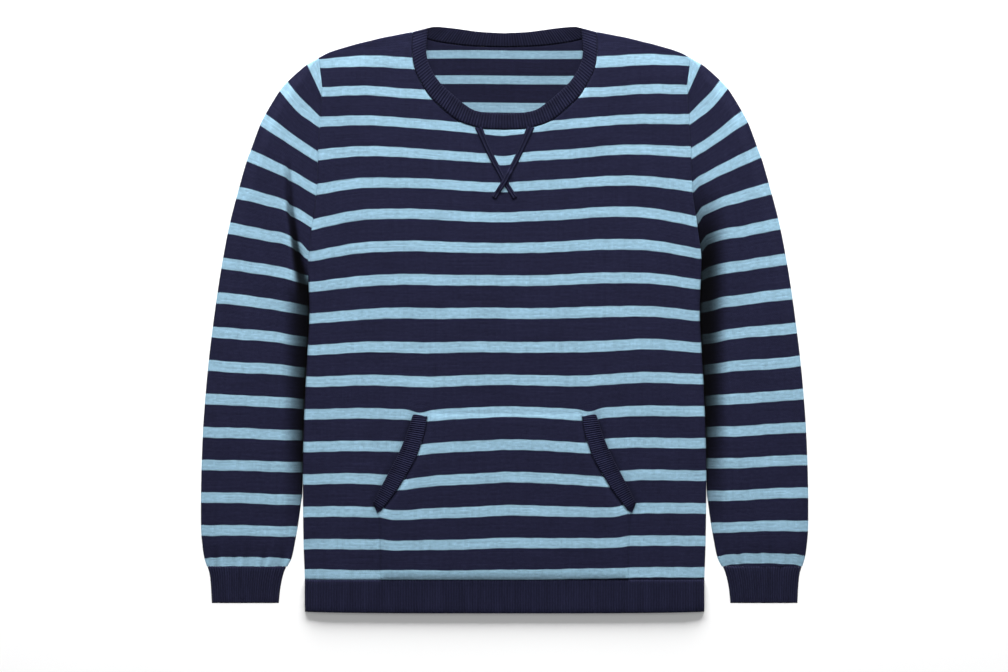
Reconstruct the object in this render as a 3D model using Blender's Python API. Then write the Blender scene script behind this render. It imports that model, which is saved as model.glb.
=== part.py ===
"""Striped jumper laid flat, front up.

X is across the jumper, Y runs from the hem to the neck, and Z is up off the surface it lies on.
Lengths in the tables are millimetres. Each table's X is the half width on either side of the middle.
"""

from math import cos, exp, hypot

import bmesh
import bpy
import numpy as np
from mathutils import Vector
from mathutils.geometry import delaunay_2d_cdt

# Driving dimensions, in millimetres
CLOTH = 1.8  # thickness of the knitted cloth
GAP = 0.3  # between two layers, and between two pieces at a seam
FULLNESS = 2.5  # how far the front stands off the back in the middle
RIB_RAISE = 0.6  # how far a rib stands off the groove beside it
NECK_RIB = 3.8  # from one rib to the next
HEM_RIB = 3.2
CUFF_RIB = 3.2
TRIM_RIB = 2.7
HEM_SEAM = -312.0
HEM_END = -352.3
CUFF_SEAM = -296.2
CUFF_END = -340.0
UNDERARM = 51.5
V_BAND = 6.6  # width of each linked band at the neck
V_CLOTH = 1.3

# x, y down the front's armhole seam, from the shoulder to under the arm
ARMHOLE = [
    (223.6, 314.6), (222.4, 302.9), (219.6, 280.9), (219.9, 270.4), (221.8, 239.3), (224.4, 201.0),
    (225.6, 156.5), (231.5, 113.6), (236.2, 75.5), (235.8, 51.5),
]
# x, y down the side of the body
SIDE = [
    (235.8, 51.5), (234.6, 6.0), (236.3, -29.0), (238.8, -72.0), (240.7, -114.0), (242.0, -156.0),
    (242.3, -204.0), (241.4, -270.0), (239.9, -312.0), (240.0, -350.5),
]
# x, y from the neck out to the sleeve
SHOULDER = [
    (110.4, 346.0), (130.0, 342.2), (148.0, 338.6), (163.4, 334.8), (181.8, 330.2), (208.8, 322.0), (223.6, 314.6),
]
# x, y of the neck band where it is sewn to the front, from the middle out to the fold at the shoulder
FRONT_SEAM = [
    (0.0, 228.6), (25.3, 229.6), (35.8, 232.1), (57.7, 240.6), (85.1, 263.9), (95.5, 277.3),
    (107.6, 301.1), (110.8, 323.9), (110.4, 346.0),
]
# x, y of the neck band's free edge on the front
FRONT_FREE = [
    (0.0, 247.6), (25.8, 249.5), (38.0, 252.5), (48.7, 259.4), (65.6, 273.4), (79.6, 287.4),
    (89.6, 304.2), (94.0, 322.1), (92.0, 350.8),
]
# x, y of the same two edges on the back, from the middle out
BACK_SEAM = [(0.0, 329.0), (40.0, 330.4), (75.0, 334.6), (95.0, 339.4), (110.4, 346.0)]
BACK_FREE = [(0.0, 344.6), (30.0, 346.2), (60.0, 350.2), (82.6, 352.3), (92.0, 350.8)]
# x, y down the sleeve's outer fold, from the shoulder to the cuff seam
SLEEVE_OUTER = [
    (223.6, 314.6), (239.2, 305.5), (262.3, 284.7), (272.0, 272.5), (286.7, 248.2), (293.9, 233.9),
    (304.0, 206.5), (309.9, 190.5), (317.9, 162.7), (329.2, 119.9), (337.8, 77.0), (344.6, 35.2),
    (350.2, -5.3), (355.1, -45.5), (358.9, -85.2), (361.9, -125.0), (363.7, -164.8), (364.7, -204.1),
    (364.8, -242.8), (364.0, -262.0), (361.2, -284.0), (357.6, -296.2),
]
# x, y down the sleeve's inner edge below the underarm
SLEEVE_INNER = [
    (236.3, 51.5), (235.2, 6.0), (236.9, -29.0), (239.4, -72.0), (241.3, -114.0), (242.6, -156.0),
    (243.3, -205.0), (244.9, -219.0), (248.5, -245.4), (251.6, -263.0), (256.0, -284.8), (261.5, -296.2),
]
# y, inner x, outer x of the cuff
CUFF = [(-296.5, 262.4, 356.9), (-306.0, 266.0, 354.2), (-322.0, 269.4, 352.7), (-340.0, 271.2, 351.8)]
# x, y of the pocket's trims, from the top down: the edge next to the pocket, then the free edge
TRIM_INNER = [(92.4, -113.0), (97.0, -138.0), (105.6, -163.5), (114.0, -179.0), (128.3, -202.4), (146.0, -225.8)]
TRIM_FREE = [(109.6, -112.4), (118.0, -138.0), (126.2, -158.0), (138.7, -182.5), (146.4, -197.0), (157.4, -218.6)]
POCKET_TOP = -111.7
POCKET_SIDE = [(150.6, -233.0), (149.6, -262.0), (148.8, -290.0), (148.8, -311.4)]
# x, y down the middle of one linked band, from the neck to its loose end past the crossing
V_LINE = [(29.5, 227.6), (25.0, 214.0), (19.4, 200.0), (12.0, 186.0), (0.0, 163.4), (-8.4, 154.6), (-14.0, 147.0)]

NAVY = (0.0203, 0.0212, 0.0467, 1.0)
DEEP_NAVY = (0.0144, 0.0160, 0.0343, 1.0)


def curve(table, count=0, step=8.0):
    """Points evenly spaced on a smooth curve through a table's points."""
    points = np.array(table)
    ends = np.vstack([2 * points[0] - points[1], points, 2 * points[-1] - points[-2]])
    fine = [points[0]]
    for i in range(1, len(ends) - 2):
        a, b, c, d = ends[i - 1 : i + 3]
        for t in np.linspace(0, 1, 13)[1:]:
            fine.append(
                0.5 * (2 * b + (c - a) * t + (2 * a - 5 * b + 4 * c - d) * t**2 + (3 * b - a - 3 * c + d) * t**3)
            )
    fine = np.array(fine)
    length = np.concatenate([[0], np.cumsum(np.hypot(*np.diff(fine, axis=0).T))])
    count = count or max(2, int(round(length[-1] / step)) + 1)
    at = np.linspace(0, length[-1], count)
    return np.column_stack([np.interp(at, length, fine[:, 0]), np.interp(at, length, fine[:, 1])])


def x_at(table, y):
    """The curve's x at a height y, for a curve that runs down from one end to the other."""
    points = curve(table, step=4.0)
    order = np.argsort(points[:, 1])
    return float(np.interp(y, points[order, 1], points[order, 0]))


def rise(value):
    """Goes softly from 0 to 1."""
    value = min(max(value, 0.0), 1.0)
    return value * value * (3 - 2 * value)


def apart(points, distance):
    """A row of points moved sideways, to the left of the way it runs."""
    points = np.array(points)
    way = np.gradient(points, axis=0)
    way /= np.hypot(*way.T)[:, None]
    return points + distance * np.column_stack([-way[:, 1], way[:, 0]])


BODY_SIDE = np.vstack([curve(ARMHOLE, step=4.0), curve(SIDE, step=4.0)[1:]])[::-1]
SHOULDER_LINE = curve(SHOULDER, step=4.0)


def half_width(y):
    return float(np.interp(y, BODY_SIDE[:, 1], BODY_SIDE[:, 0]))


def seam_height(y):
    """How far the cloth stands up where the sleeve joins, above a flat lie: none below the arm."""
    return 1.2 * rise((y - UNDERARM) / 40)


def front_top(x, y):
    """Height of the front's upper face."""
    edge = seam_height(y)
    inside = half_width(y) - abs(x)
    height = edge + (FULLNESS - edge) * rise(inside / 30)
    below = float(np.interp(abs(x), SHOULDER_LINE[:, 0], SHOULDER_LINE[:, 1])) - y
    height *= 0.25 + 0.75 * rise(below / 34)
    wave = 0.35 * cos(x / 57 + y / 130) * cos(y / 83 - 0.7) + 0.2 * cos(x / 31 - y / 61 + 1.1)
    height += wave * rise(inside / 45) * rise(below / 45)
    return 2 * CLOTH + GAP + max(height, 0.0)


def trough(x, y, line, depth, wide):
    """How deep a soft crease along a line of points is at a place."""
    near = min(
        hypot(x - px, y - py)
        for (ax, ay), (bx, by) in zip(line, line[1:])
        for t in (0, 0.25, 0.5, 0.75, 1)
        for px, py in [(ax + t * (bx - ax), ay + t * (by - ay))]
    )
    return depth * exp(-((near / wide) ** 2))


# Creases beside each armhole, by the side they are on: the wearer's right is -1
CREASE = {
    -1: [(259.9, 185.9), (250.6, 131.9), (249.1, 89.9), (241.5, 55.1)],
    1: [(250.9, 145.1), (246.1, 103.1), (240.1, 61.1)],
}


def sleeve_top(x, y, inner, outer, side):
    """Height of the sleeve's upper face."""
    edge = seam_height(y)
    height = edge + (2.7 - edge) * rise((x - inner) / 28)
    height -= trough(x, y, CREASE[side], 1.1, 11)
    height += 0.3 * cos(x / 37 + y / 47 + side) * rise((x - inner) / 40)
    height *= rise((outer - x) / min(20.0, 0.6 * (outer - inner)))
    return 2 * CLOTH + GAP + max(height, 0.0)


def material(name, colour, roughness=0.85):
    made = bpy.data.materials.new(name)
    made.use_nodes = True
    shader = made.node_tree.nodes["Principled BSDF"]
    shader.inputs["Base Color"].default_value = colour
    shader.inputs["Roughness"].default_value = roughness
    made.diffuse_color = colour
    return made


def solid(name, points, faces, colour):
    """An object from points in millimetres and faces, all turned to look outwards."""
    mesh = bpy.data.meshes.new(name)
    mesh.from_pydata([Vector(p) * 0.001 for p in points], [], faces)
    shell = bmesh.new()
    shell.from_mesh(mesh)
    bmesh.ops.recalc_face_normals(shell, faces=shell.faces)
    shell.to_mesh(mesh)
    shell.free()
    mesh.materials.append(material(name + "_knit", colour))
    made = bpy.data.objects.new(name, mesh)
    garment.objects.link(made)
    return made


def mirrored(points):
    """A half outline's points from the middle out, made into the whole, from the left round to the right."""
    return [(-x, y) for x, y in points[::-1] if x > 0.01] + [tuple(p) for p in points]


def slab(name, outline, inside, low, high, colour):
    """A panel with this outline, between the heights that low and high give at each place."""
    flat = [Vector(p) for p in list(outline) + list(inside)]
    points, _, faces, *_ = delaunay_2d_cdt(flat, [], [list(range(len(outline)))], 1, 1e-4)
    faces = [f if (points[f[1]] - points[f[0]]).cross(points[f[2]] - points[f[0]]) > 0 else f[::-1] for f in faces]
    count = len(points)
    solid_points = [(x, y, low(x, y)) for x, y in points] + [(x, y, high(x, y)) for x, y in points]
    solid_faces = [tuple(f[::-1]) for f in faces] + [tuple(i + count for i in f) for f in faces]
    edges = {(f[i - 1], f[i]) for f in faces for i in range(3)}
    solid_faces += [(a, b, b + count, a + count) for a, b in edges if (b, a) not in edges]
    return solid(name, solid_points, sorted(solid_faces), colour)


def loft(name, sections, colour, ring=False):
    """A solid through a row of closed sections, each with as many points as the next."""
    size = len(sections[0])
    points = [p for section in sections for p in section]
    faces = []
    for i in range(len(sections) if ring else len(sections) - 1):
        a, b = i * size, (i + 1) % len(sections) * size
        for k in range(size):
            n = (k + 1) % size
            faces.append((a + k, a + n, b + n, b + k))
    if not ring:
        faces.append(tuple(range(size))[::-1])
        faces.append(tuple(range(len(points) - size, len(points))))
    return solid(name, points, faces, colour)


def within(x, y, outline, margin):
    """Whether a place is inside an outline and this far from it."""
    inside = False
    for (ax, ay), (bx, by) in zip(outline, outline[1:] + outline[:1]):
        along = ((x - ax) * (bx - ax) + (y - ay) * (by - ay)) / max((bx - ax) ** 2 + (by - ay) ** 2, 1e-9)
        along = min(max(along, 0), 1)
        if hypot(x - ax - along * (bx - ax), y - ay - along * (by - ay)) < margin:
            return False
        if (ay > y) != (by > y) and x < ax + (y - ay) * (bx - ax) / (by - ay):
            inside = not inside
    return inside


bpy.data.batch_remove(list(bpy.data.objects))
garment = bpy.data.collections.new("striped_jumper")
bpy.context.scene.collection.children.link(garment)

# The heights at which the sleeves and the body's sides have their points, so that their edges run side by side
ROWS = [
    311.0, 303.0, 292.0, 277.0, 258.0, 234.0, 208.0, 180.0, 152.0, 124.0, 98.0, 74.0, UNDERARM, 28.0, 0.0, -30.0,
    -62.0, -95.0, -128.0, -160.0, -190.0, -218.0, -245.0, -268.0, -285.0, CUFF_SEAM + GAP / 2,
]

# Front and back panels: the body's half outline from the middle of the neck out, down the side to the hem seam
hem_y = HEM_SEAM + GAP / 2
body_edge = list(curve(SHOULDER, step=17.0)[1:]) + [(half_width(y), y) for y in ROWS + [hem_y]]


def body_outline(neck, count):
    """The whole outline of a body panel, with the neck's seam line moved away from the band by half a gap."""
    neck_edge = apart(curve(neck, count), -GAP)
    neck_edge[0][0] = 0.0
    # The seam line ends on the shoulder line, just short of the band's fold
    neck_edge[-1] = (110.9, 345.6)
    half = [tuple(p) for p in neck_edge] + [tuple(p) for p in body_edge]
    hem = [(x, hem_y) for x in np.arange(-210.0, 211.0, 30.0)][::-1]
    return mirrored(half) + hem


front_edge = body_outline(FRONT_SEAM, 19)
shares = [0.0, 0.13, 0.26, 0.39, 0.52, 0.65, 0.77, 0.86, 0.93, 0.975]
front_inside = []
for row, y in enumerate(np.arange(-292.0, 335.0, 24.0)):
    for share in shares:
        for sign in (-1, 1) if share else (1,):
            x = sign * share * half_width(y)
            if within(x, y, front_edge, 5.5):
                front_inside.append((x, y))
slab("front_panel", front_edge, front_inside, lambda x, y: front_top(x, y) - CLOTH, front_top, NAVY)
slab("back_panel", body_outline(BACK_SEAM, 9), [], lambda x, y: 0.0, lambda x, y: CLOTH, NAVY)

# Hem rib: the front is ribbed, and the back's outer side is the one it rests on
hem_top = HEM_SEAM - GAP / 2
wide = half_width(hem_top)
ribs = int(round(2 * wide / HEM_RIB))
sections = []
for i in range(2 * ribs + 1):
    x = wide * (i / ribs - 1)
    inside = wide - abs(x)
    end = HEM_END + 1.8 * (x / wide) ** 4
    raised = RIB_RAISE * (i % 2)
    fall = 1 - 0.45 * rise(inside / 30)
    top, tail = front_top(x, hem_top), 2 * CLOTH + GAP + 1.2 * rise(inside / 26)
    sections.append([
        (x, hem_top, top - CLOTH),
        (x, end, tail - CLOTH),
        (x, end, tail + raised * fall),
        (x, hem_top, top + raised * fall),
    ])
loft("hem_front", sections, DEEP_NAVY)
sections = []
for x in np.linspace(-wide, wide, 25):
    end = HEM_END + 1.8 * (x / wide) ** 4
    sections.append([(x, hem_top, 0), (x, end, 0), (x, end, CLOTH), (x, hem_top, CLOTH)])
loft("hem_back", sections, DEEP_NAVY)

# Sleeves: rows down the sleeve, each a flattened loop that is open towards the body above the underarm
ACROSS = [0.0, 0.05, 0.12, 0.2, 0.29, 0.4, 0.55, 0.7, 0.83, 0.93]
BELOW = [0.0, 0.35, 0.7, 0.95]


def sleeve(name, side):
    outside, inside = [], []
    for y in ROWS:
        inner = half_width(y) + GAP
        if y < UNDERARM:
            inner = max(inner, x_at(SLEEVE_INNER, y))
        outer = x_at(SLEEVE_OUTER, y)
        wide = outer - inner
        fold = min(2.2, 0.4 * wide)
        wall = 0.0 if y > UNDERARM else CLOTH
        under = [(inner + s * wide, 0.0) for s in BELOW]
        over = [(inner + s * wide, sleeve_top(inner + s * wide, y, inner, outer, side)) for s in ACROSS]
        over = [(min(x, outer - fold * 0.7), z) for x, z in over]
        tip = [(outer - 0.5 * fold, 0.0), (outer, 0.5 * (2 * CLOTH + GAP)), (outer - 0.5 * fold, 2 * CLOTH + GAP)]
        outside.append([(side * x, y, z) for x, z in under + tip + over[::-1]])
        slot = 0.55 * wide if wide < 8 else wide - 2.2
        hollow = [(inner + wall + s * (slot - wall), CLOTH) for s in BELOW]
        hollow += [
            (inner + slot - 0.2, CLOTH), (inner + slot, CLOTH + 0.5 * GAP), (inner + slot - 0.2, CLOTH + GAP),
        ]
        for (x, z), s in list(zip(over, ACROSS))[::-1]:
            x = inner + wall + s * (slot - 0.3 - wall)
            high = sleeve_top(x, y, inner, outer, side) - CLOTH
            hollow.append((x, high))
        inside.append([(side * x, y, z) for x, z in hollow])
    around, rows = len(outside[0]), len(ROWS)
    joined = ROWS.index(UNDERARM)
    points = [p for row in outside for p in row] + [p for row in inside for p in row]
    hollow = around * rows

    def strip(k, n, first):
        faces = []
        for r in range(first, rows - 1):
            a, b = r * around, (r + 1) * around
            faces.append((a + k, b + k, b + n, a + n))
            faces.append((hollow + a + k, hollow + a + n, hollow + b + n, hollow + b + k))
        return faces

    faces = []
    for k in range(around - 1):
        faces += strip(k, k + 1, 0)
    faces += strip(around - 1, 0, joined)
    last = around - 1
    for r in range(joined):
        a, b = r * around, (r + 1) * around
        faces.append((a, hollow + a, hollow + b, b))
        faces.append((a + last, b + last, hollow + b + last, hollow + a + last))
    a = joined * around
    faces.append((a, hollow + a, hollow + a + last, a + last))
    faces.append(tuple(range(around)) + tuple(hollow + k for k in range(around))[::-1])
    a = (rows - 1) * around
    for k in range(around):
        n = (k + 1) % around
        faces.append((a + k, hollow + a + k, hollow + a + n, a + n))
    return solid(name, points, faces, NAVY)


sleeve("sleeve_right", -1)
sleeve("sleeve_left", 1)


def cuff(name, side):
    """A ribbed loop, flattened: ribs over the top, plain underneath where it rests."""
    ribs = int(round((CUFF[0][2] - CUFF[0][1]) / CUFF_RIB))
    sections = []

    def section(share, low, high, raised):
        """A cut through the cloth from the seam to the end, at this share of the way across."""
        rows = []
        for y, inner, outer in CUFF:
            x = inner + share * (outer - inner)
            edge = min(x - inner, outer - x)
            full = 1.6 * rise(edge / 16) * (1 - 0.4 * rise((CUFF_SEAM - y) / 40))
            rows.append((side * x, y, full))
        up = [(x, y, high(full) + raised * rise((full + 0.25) / 0.8)) for x, y, full in rows]
        down = [(x, y, low(full)) for x, y, full in rows[::-1]]
        return up + down

    level = 2 * CLOTH + GAP
    for i in range(1, 2 * ribs):
        share = i / (2 * ribs)
        full = 0 if i < 2 or i > 2 * ribs - 2 else 1
        sections.append(section(share, lambda f: CLOTH + GAP + f, lambda f: level + f, RIB_RAISE * (i % 2) * full))
    for share in (0.975, 0.7, 0.4, 0.025):
        sections.append(section(share, lambda f: CLOTH, lambda f: 0.0, 0.0))
    # The two folds, where the cloth turns from the top to the underside
    rows_out = [(outer, y) for y, inner, outer in CUFF]
    rows_in = [(inner, y) for y, inner, outer in CUFF]
    fold_out = [(side * x, y, level / 2) for x, y in rows_out] + [
        (side * (x - CLOTH), y, level / 2) for x, y in rows_out[::-1]
    ]
    fold_in = [(side * x, y, level / 2) for x, y in rows_in] + [
        (side * (x + CLOTH), y, level / 2) for x, y in rows_in[::-1]
    ]
    sections.insert(2 * ribs - 1, fold_out)
    sections.append(fold_in)
    return loft(name, sections, DEEP_NAVY, ring=True)


cuff("cuff_right", -1)
cuff("cuff_left", 1)


def band_sections():
    """The neck band's cuts, from the middle of the front round one shoulder to the middle of the back."""
    level = 2 * CLOTH + GAP
    spans = []
    length = len(curve(FRONT_SEAM, step=1.0)) - 1
    front = 2 * int(round(0.94 * length / NECK_RIB))
    back_length = len(curve(BACK_SEAM, step=1.0)) - 1
    back = 2 * int(round(back_length / NECK_RIB))
    seam, free = curve(FRONT_SEAM, front + 1), curve(FRONT_FREE, front + 1)
    for i in range(front):
        (sx, sy), (fx, fy) = seam[i], free[i]
        share = rise((front - i) / 8)
        lift = front_top(sx, sy) - level
        cuts = []
        for t, height in ((0.0, lift), (0.5, lift + 0.5), (1.0, lift - 0.3)):
            x, y = sx + t * (fx - sx), sy + t * (fy - sy)
            cuts.append((x, y, level + max(height, 0.12) * share + RIB_RAISE * (i % 2) * share))
        plain = [(x, y, level - CLOTH + max(lift, 0.12) * share) for x, y, z in (cuts[2], cuts[0])]
        spans.append(cuts + plain)
    # The fold: the cut stands on edge, with its outer side away from the neck
    (sx, sy), (fx, fy) = FRONT_SEAM[-1], FRONT_FREE[-1]
    out = np.array([sy - fy, fx - sx]) / hypot(sx - fx, sy - fy) * -1
    cut = [(sx + t * (fx - sx), sy + t * (fy - sy), level / 2) for t in (0.0, 0.5, 1.0)]
    plain = [(x - CLOTH * out[0], y - CLOTH * out[1], z) for x, y, z in (cut[2], cut[0])]
    spans.append(cut + plain)
    seam, free = curve(BACK_SEAM, back + 1)[::-1], curve(BACK_FREE, back + 1)[::-1]
    for i in range(1, back + 1):
        (sx, sy), (fx, fy) = seam[i], free[i]
        cut = [(sx + t * (fx - sx), sy + t * (fy - sy), 0.0) for t in (0.0, 0.5, 1.0)]
        raised = RIB_RAISE * (i % 2) * rise((i - 8) / 6)
        plain = [(x, y, CLOTH + raised) for x, y, z in (cut[2], cut[0])]
        spans.append(cut + plain)
    return spans


half = band_sections()
other = [[(-x, y, z) for x, y, z in section] for section in half[1:-1]][::-1]
loft("neck_band", half + other, NAVY, ring=True)

# Pocket: a panel on the front, its slanted mouths taken up by the trims
pocket_half = [(0.0, POCKET_TOP), (31.0, POCKET_TOP), (62.0, POCKET_TOP), (92.0, POCKET_TOP)]
mouth = apart(curve(TRIM_INNER, 24), -GAP)
pocket_half += [(x, y) for x, y in mouth if y < POCKET_TOP - 1.0] + POCKET_SIDE
pocket_edge = mirrored(pocket_half) + [(x, -311.4) for x in (120.0, 90.0, 60.0, 30.0, 0.0, -30.0, -60.0, -90.0, -120.0)]
pocket_inside = [
    (x, y)
    for y in np.arange(-292.0, -115.0, 24.0)
    for x in np.arange(-135.0, 136.0, 27.0)
    if within(x, y, pocket_edge, 7.0)
]
slab(
    "pocket", pocket_edge, pocket_inside,
    lambda x, y: front_top(x, y) + GAP, lambda x, y: front_top(x, y) + GAP + CLOTH, NAVY,
)


def trim(name, side):
    length = len(curve(TRIM_INNER, step=1.0)) - 1
    ribs = int(round(length / TRIM_RIB))
    inner, free = curve(TRIM_INNER, 2 * ribs + 1), curve(TRIM_FREE, 2 * ribs + 1)
    sections = []
    for i, ((ax, ay), (bx, by)) in enumerate(zip(inner, free)):
        low_a, low_b = front_top(side * ax, ay) + GAP, front_top(side * bx, by) + GAP
        raised = CLOTH + 0.8 * RIB_RAISE * (i % 2)
        sections.append([
            (side * ax, ay, low_a), (side * bx, by, low_b), (side * bx, by, low_b + raised), (side * ax, ay, low_a + raised),
        ])
    return loft(name, sections, DEEP_NAVY)


trim("pocket_trim_right", -1)
trim("pocket_trim_left", 1)


def v_band(name, side, over):
    """One linked band on the front. The one that lies over rides up across the other."""
    line = curve(V_LINE, 25)
    edges = apart(line, V_BAND / 2), apart(line, -V_BAND / 2)
    sections = []
    for i, (a, b) in enumerate(zip(*edges)):
        x, y = line[i]
        lift = GAP + (over * (V_CLOTH + GAP) * rise(2.6 - hypot(x, y - 163.4) / 6.5) if over else 0.0)
        cut = [(side * px, py, front_top(side * px, py) + lift) for px, py in (a, b)]
        cut += [(px, py, pz + V_CLOTH) for px, py, pz in cut[::-1]]
        sections.append(cut)
    return loft(name, sections, DEEP_NAVY)


v_band("v_band_right", -1, 0)
v_band("v_band_left", 1, 1)
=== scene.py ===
# %% [markdown]
# # A striped jumper, knitted stripe by stripe
#
# This script dresses the solid model of a jumper that lies flat with its front up.
# Each piece of cloth is a thin shell on the form of its solid, and carries its own knitting chart:
# for every point, how many wales across and how many courses up the cloth it lies.
# The stripes, the stitches and the ribs are all read from that chart, so they bend with the cloth,
# as they do on the real garment, where a stripe is simply a change of yarn.

import bmesh
import bpy
import numpy as np
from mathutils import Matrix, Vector
from mathutils.geometry import delaunay_2d_cdt


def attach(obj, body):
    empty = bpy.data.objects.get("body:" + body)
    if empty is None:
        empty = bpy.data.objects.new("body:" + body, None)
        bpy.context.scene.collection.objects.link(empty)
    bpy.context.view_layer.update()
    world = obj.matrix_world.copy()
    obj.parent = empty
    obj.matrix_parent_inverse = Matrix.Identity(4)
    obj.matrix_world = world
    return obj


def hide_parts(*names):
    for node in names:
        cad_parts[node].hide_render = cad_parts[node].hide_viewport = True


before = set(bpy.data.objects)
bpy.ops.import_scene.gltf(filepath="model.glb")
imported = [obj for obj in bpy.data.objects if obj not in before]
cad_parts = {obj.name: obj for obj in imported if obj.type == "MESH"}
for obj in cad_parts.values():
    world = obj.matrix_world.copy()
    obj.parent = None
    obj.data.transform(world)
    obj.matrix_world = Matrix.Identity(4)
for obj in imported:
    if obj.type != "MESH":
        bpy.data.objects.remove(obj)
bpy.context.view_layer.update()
print("solids:", ", ".join(sorted(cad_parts)))

# %% [markdown]
# ## Sizes
#
# All lengths are millimetres until a mesh is made. X runs across the jumper, Y from the hem to the neck,
# and Z up off the surface. The outline tables give the half width on either side of the middle,
# because the two halves of a jumper are cut alike.

# %% Sizes of the cloth and the knitting
CLOTH = 1.8
GAP = 0.3
FLAT = 2 * CLOTH + GAP  # the height of two layers pressed flat
FULLNESS = 2.5
SLEEVE_FULLNESS = 3.6
UNDERARM = 51.5
HEM_SEAM, HEM_END = -312.0, -352.3
CUFF_SEAM, CUFF_END = -296.2, -340.0
WALE = 2.1  # width of a stitch
COURSES = 25  # courses from one light stripe to the next, eight of them light
COURSE = 39.2 / COURSES  # height of a stitch
NECK_RIB, HEM_RIB, CUFF_RIB, TRIM_RIB = 3.4, 3.2, 3.2, 2.7
RIB_RAISE = 0.75

# %% Outlines, each point x, y
ARMHOLE = [
    (223.6, 314.6), (222.4, 302.9), (219.6, 280.9), (219.9, 270.4), (221.8, 239.3), (224.4, 201.0),
    (225.6, 156.5), (231.5, 113.6), (236.2, 75.5), (235.8, 51.5),
]
SIDE = [
    (235.8, 51.5), (234.6, 6.0), (236.3, -29.0), (238.8, -72.0), (240.7, -114.0), (242.0, -156.0),
    (242.3, -204.0), (241.4, -270.0), (239.9, -312.0), (240.0, -350.5),
]
SHOULDER = [
    (110.4, 346.0), (130.0, 342.2), (148.0, 338.6), (163.4, 334.8), (181.8, 330.2), (208.8, 322.0), (223.6, 314.6),
]
FRONT_SEAM = [
    (0.0, 228.6), (25.3, 229.6), (35.8, 232.1), (57.7, 240.6), (85.1, 263.9), (95.5, 277.3),
    (107.6, 301.1), (110.8, 323.9), (110.4, 346.0),
]
FRONT_FREE = [
    (0.0, 247.6), (25.8, 249.5), (38.0, 252.5), (48.7, 259.4), (65.6, 273.4), (79.6, 287.4),
    (89.6, 304.2), (94.0, 322.1), (92.0, 350.8),
]
BACK_SEAM = [(0.0, 329.0), (40.0, 330.4), (75.0, 334.6), (95.0, 339.4), (110.4, 346.0)]
BACK_FREE = [(0.0, 344.6), (30.0, 346.2), (60.0, 350.2), (82.6, 352.3), (92.0, 350.8)]
SLEEVE_OUTER = [
    (223.6, 314.6), (239.2, 305.5), (262.3, 284.7), (272.0, 272.5), (286.7, 248.2), (293.9, 233.9),
    (304.0, 206.5), (309.9, 190.5), (317.9, 162.7), (329.2, 119.9), (337.8, 77.0), (344.6, 35.2),
    (350.2, -5.3), (355.1, -45.5), (358.9, -85.2), (361.9, -125.0), (363.7, -164.8), (364.7, -204.1),
    (364.8, -242.8), (364.0, -262.0), (361.2, -284.0), (357.6, -296.2),
]
SLEEVE_INNER = [
    (236.3, 51.5), (235.2, 6.0), (236.9, -29.0), (239.4, -72.0), (241.3, -114.0), (242.6, -156.0),
    (243.3, -205.0), (244.9, -219.0), (248.5, -245.4), (251.6, -263.0), (256.0, -284.8), (261.5, -296.2),
]
CUFF_INNER = [(262.4, -296.5), (266.0, -306.0), (269.4, -322.0), (271.2, -340.0)]
CUFF_OUTER = [(356.9, -296.5), (354.2, -306.0), (352.7, -322.0), (351.8, -340.0)]
TRIM_INNER = [(92.4, -113.0), (97.0, -138.0), (105.6, -163.5), (114.0, -179.0), (128.3, -202.4), (146.0, -225.8)]
TRIM_FREE = [(109.6, -112.4), (118.0, -138.0), (126.2, -158.0), (138.7, -182.5), (146.4, -197.0), (157.4, -218.6)]
POCKET_TOP = -111.7
POCKET_SIDE = [(150.6, -233.0), (149.6, -262.0), (148.8, -290.0), (148.8, -311.4)]
V_LINE = [(32.0, 232.4), (28.4, 224.4), (21.5, 208.5), (14.8, 194.0), (7.2, 180.0), (0.0, 166.3), (-8.0, 153.7), (-12.6, 146.6)]

# %% [markdown]
# ## Where the stripes run
#
# The yarn changes every few courses, so each light stripe is one row of this chart.
# The numbers are the heights of the stripe's middle, read off the picture at a few places across the cloth.
# On the body they droop beside the armhole, and on the sleeve they fan out over the shoulder,
# because the sleeve is knitted straight and then turned down to be sewn in.

# %% Stripe charts: number, then the height at each of the widths
BODY_AT = (0, 78, 126, 174, 231)
BODY_STRIPES = [
    (-1, -345, -345, -345, -345, -345),
    (0, -306, -306, -306, -306, -305),
    (1, -268, -269, -268, -268, -268),
    (2, -229, -231, -230, -229, -229),
    (3, -189, -192, -191, -189, -190),
    (4, -150, -153, -150, -150, -151),
    (5, -110, -113, -112, -111, -112),
    (6, -72, -74, -72, -71, -73),
    (7, -33, -33, -32, -31, -35),
    (8, 8, 8, 9, 8, 3),
    (9, 47, 48, 49, 48, 41),
    (10, 86, 88, 89, 88, 78),
    (11, 123, 126, 128, 127, 116),
    (12, 159, 163, 165, 165, 158),
    (13, 194, 198, 202, 203, 200),
    (14, 226, 234, 238, 240, 240),
    (15, 257, 270, 273, 276, 275),
    (16, 288, 305, 308, 310, 309),
    (17, 336, 352, 360, 360, 336),
]
SLEEVE_AT = (216, 232, 250, 282, 318, 354)
SLEEVE_STRIPES = [
    (-1, -330, -329, -328, -327, -326, -327),
    (0, -292.5, -292.5, -291.5, -289.5, -289.5, -290.5),
    (1, -253, -253, -252, -251, -250, -250),
    (2, -215, -215, -214, -213, -211, -210),
    (3, -177, -176, -175, -174, -172, -171),
    (4, -139, -138, -137, -136, -133, -132),
    (5, -103, -101, -99, -97, -94, -92),
    (6, -65, -63, -61, -57, -55, -52),
    (7, -28, -26, -24, -18, -15, -12),
    (8, 9, 12, 15, 21, 26, 29),
    (9, 43, 48, 53, 62, 67, 72),
    (10, 76, 83, 91, 103, 110, 116),
    (11, 111, 119, 129, 145, 154, 159),
    (12, 153, 161, 171, 188, 204, 216),
    (13, 194, 202, 213, 236, 259, 276),
    (14, 235, 247, 261, 302, 343, 372),
    (15, 267, 307, 347, 396, 432, 456),
    (16, 510, 560, 600, 640, 680, 700),
]
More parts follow.
